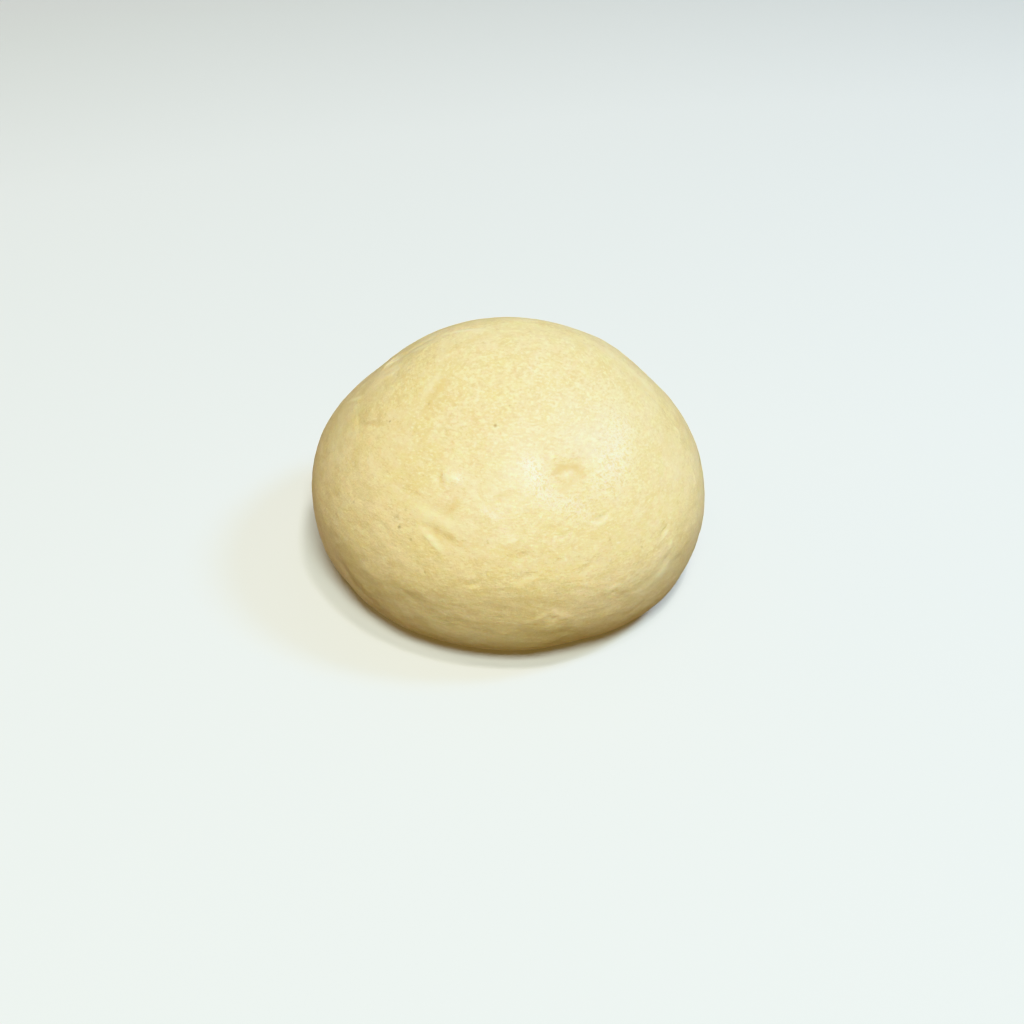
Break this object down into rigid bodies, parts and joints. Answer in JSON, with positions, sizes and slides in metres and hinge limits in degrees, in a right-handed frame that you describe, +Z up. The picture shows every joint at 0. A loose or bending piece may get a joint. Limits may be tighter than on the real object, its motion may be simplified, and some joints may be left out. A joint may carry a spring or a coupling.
{
  "type": "bao bun",
  "caption": "Round steamed filled bun of smooth ivory dough, a low dome with a full belly and a flat underside that it rests on.",
  "frame": {"origin": "middle of the bun's box at its flat underside, on the surface that it rests on", "axes": "+Z up through the crown; the side that the picture shows faces -Y, and its left side is -X"},
  "size_m": [0.0898, 0.0898, 0.057],
  "materials": {
    "dough": "smooth steamed dough skin, ivory, with a soft moist sheen"
  },
  "bodies": {
    "root": {"bun": "dough"}
  },
  "joints": []
}
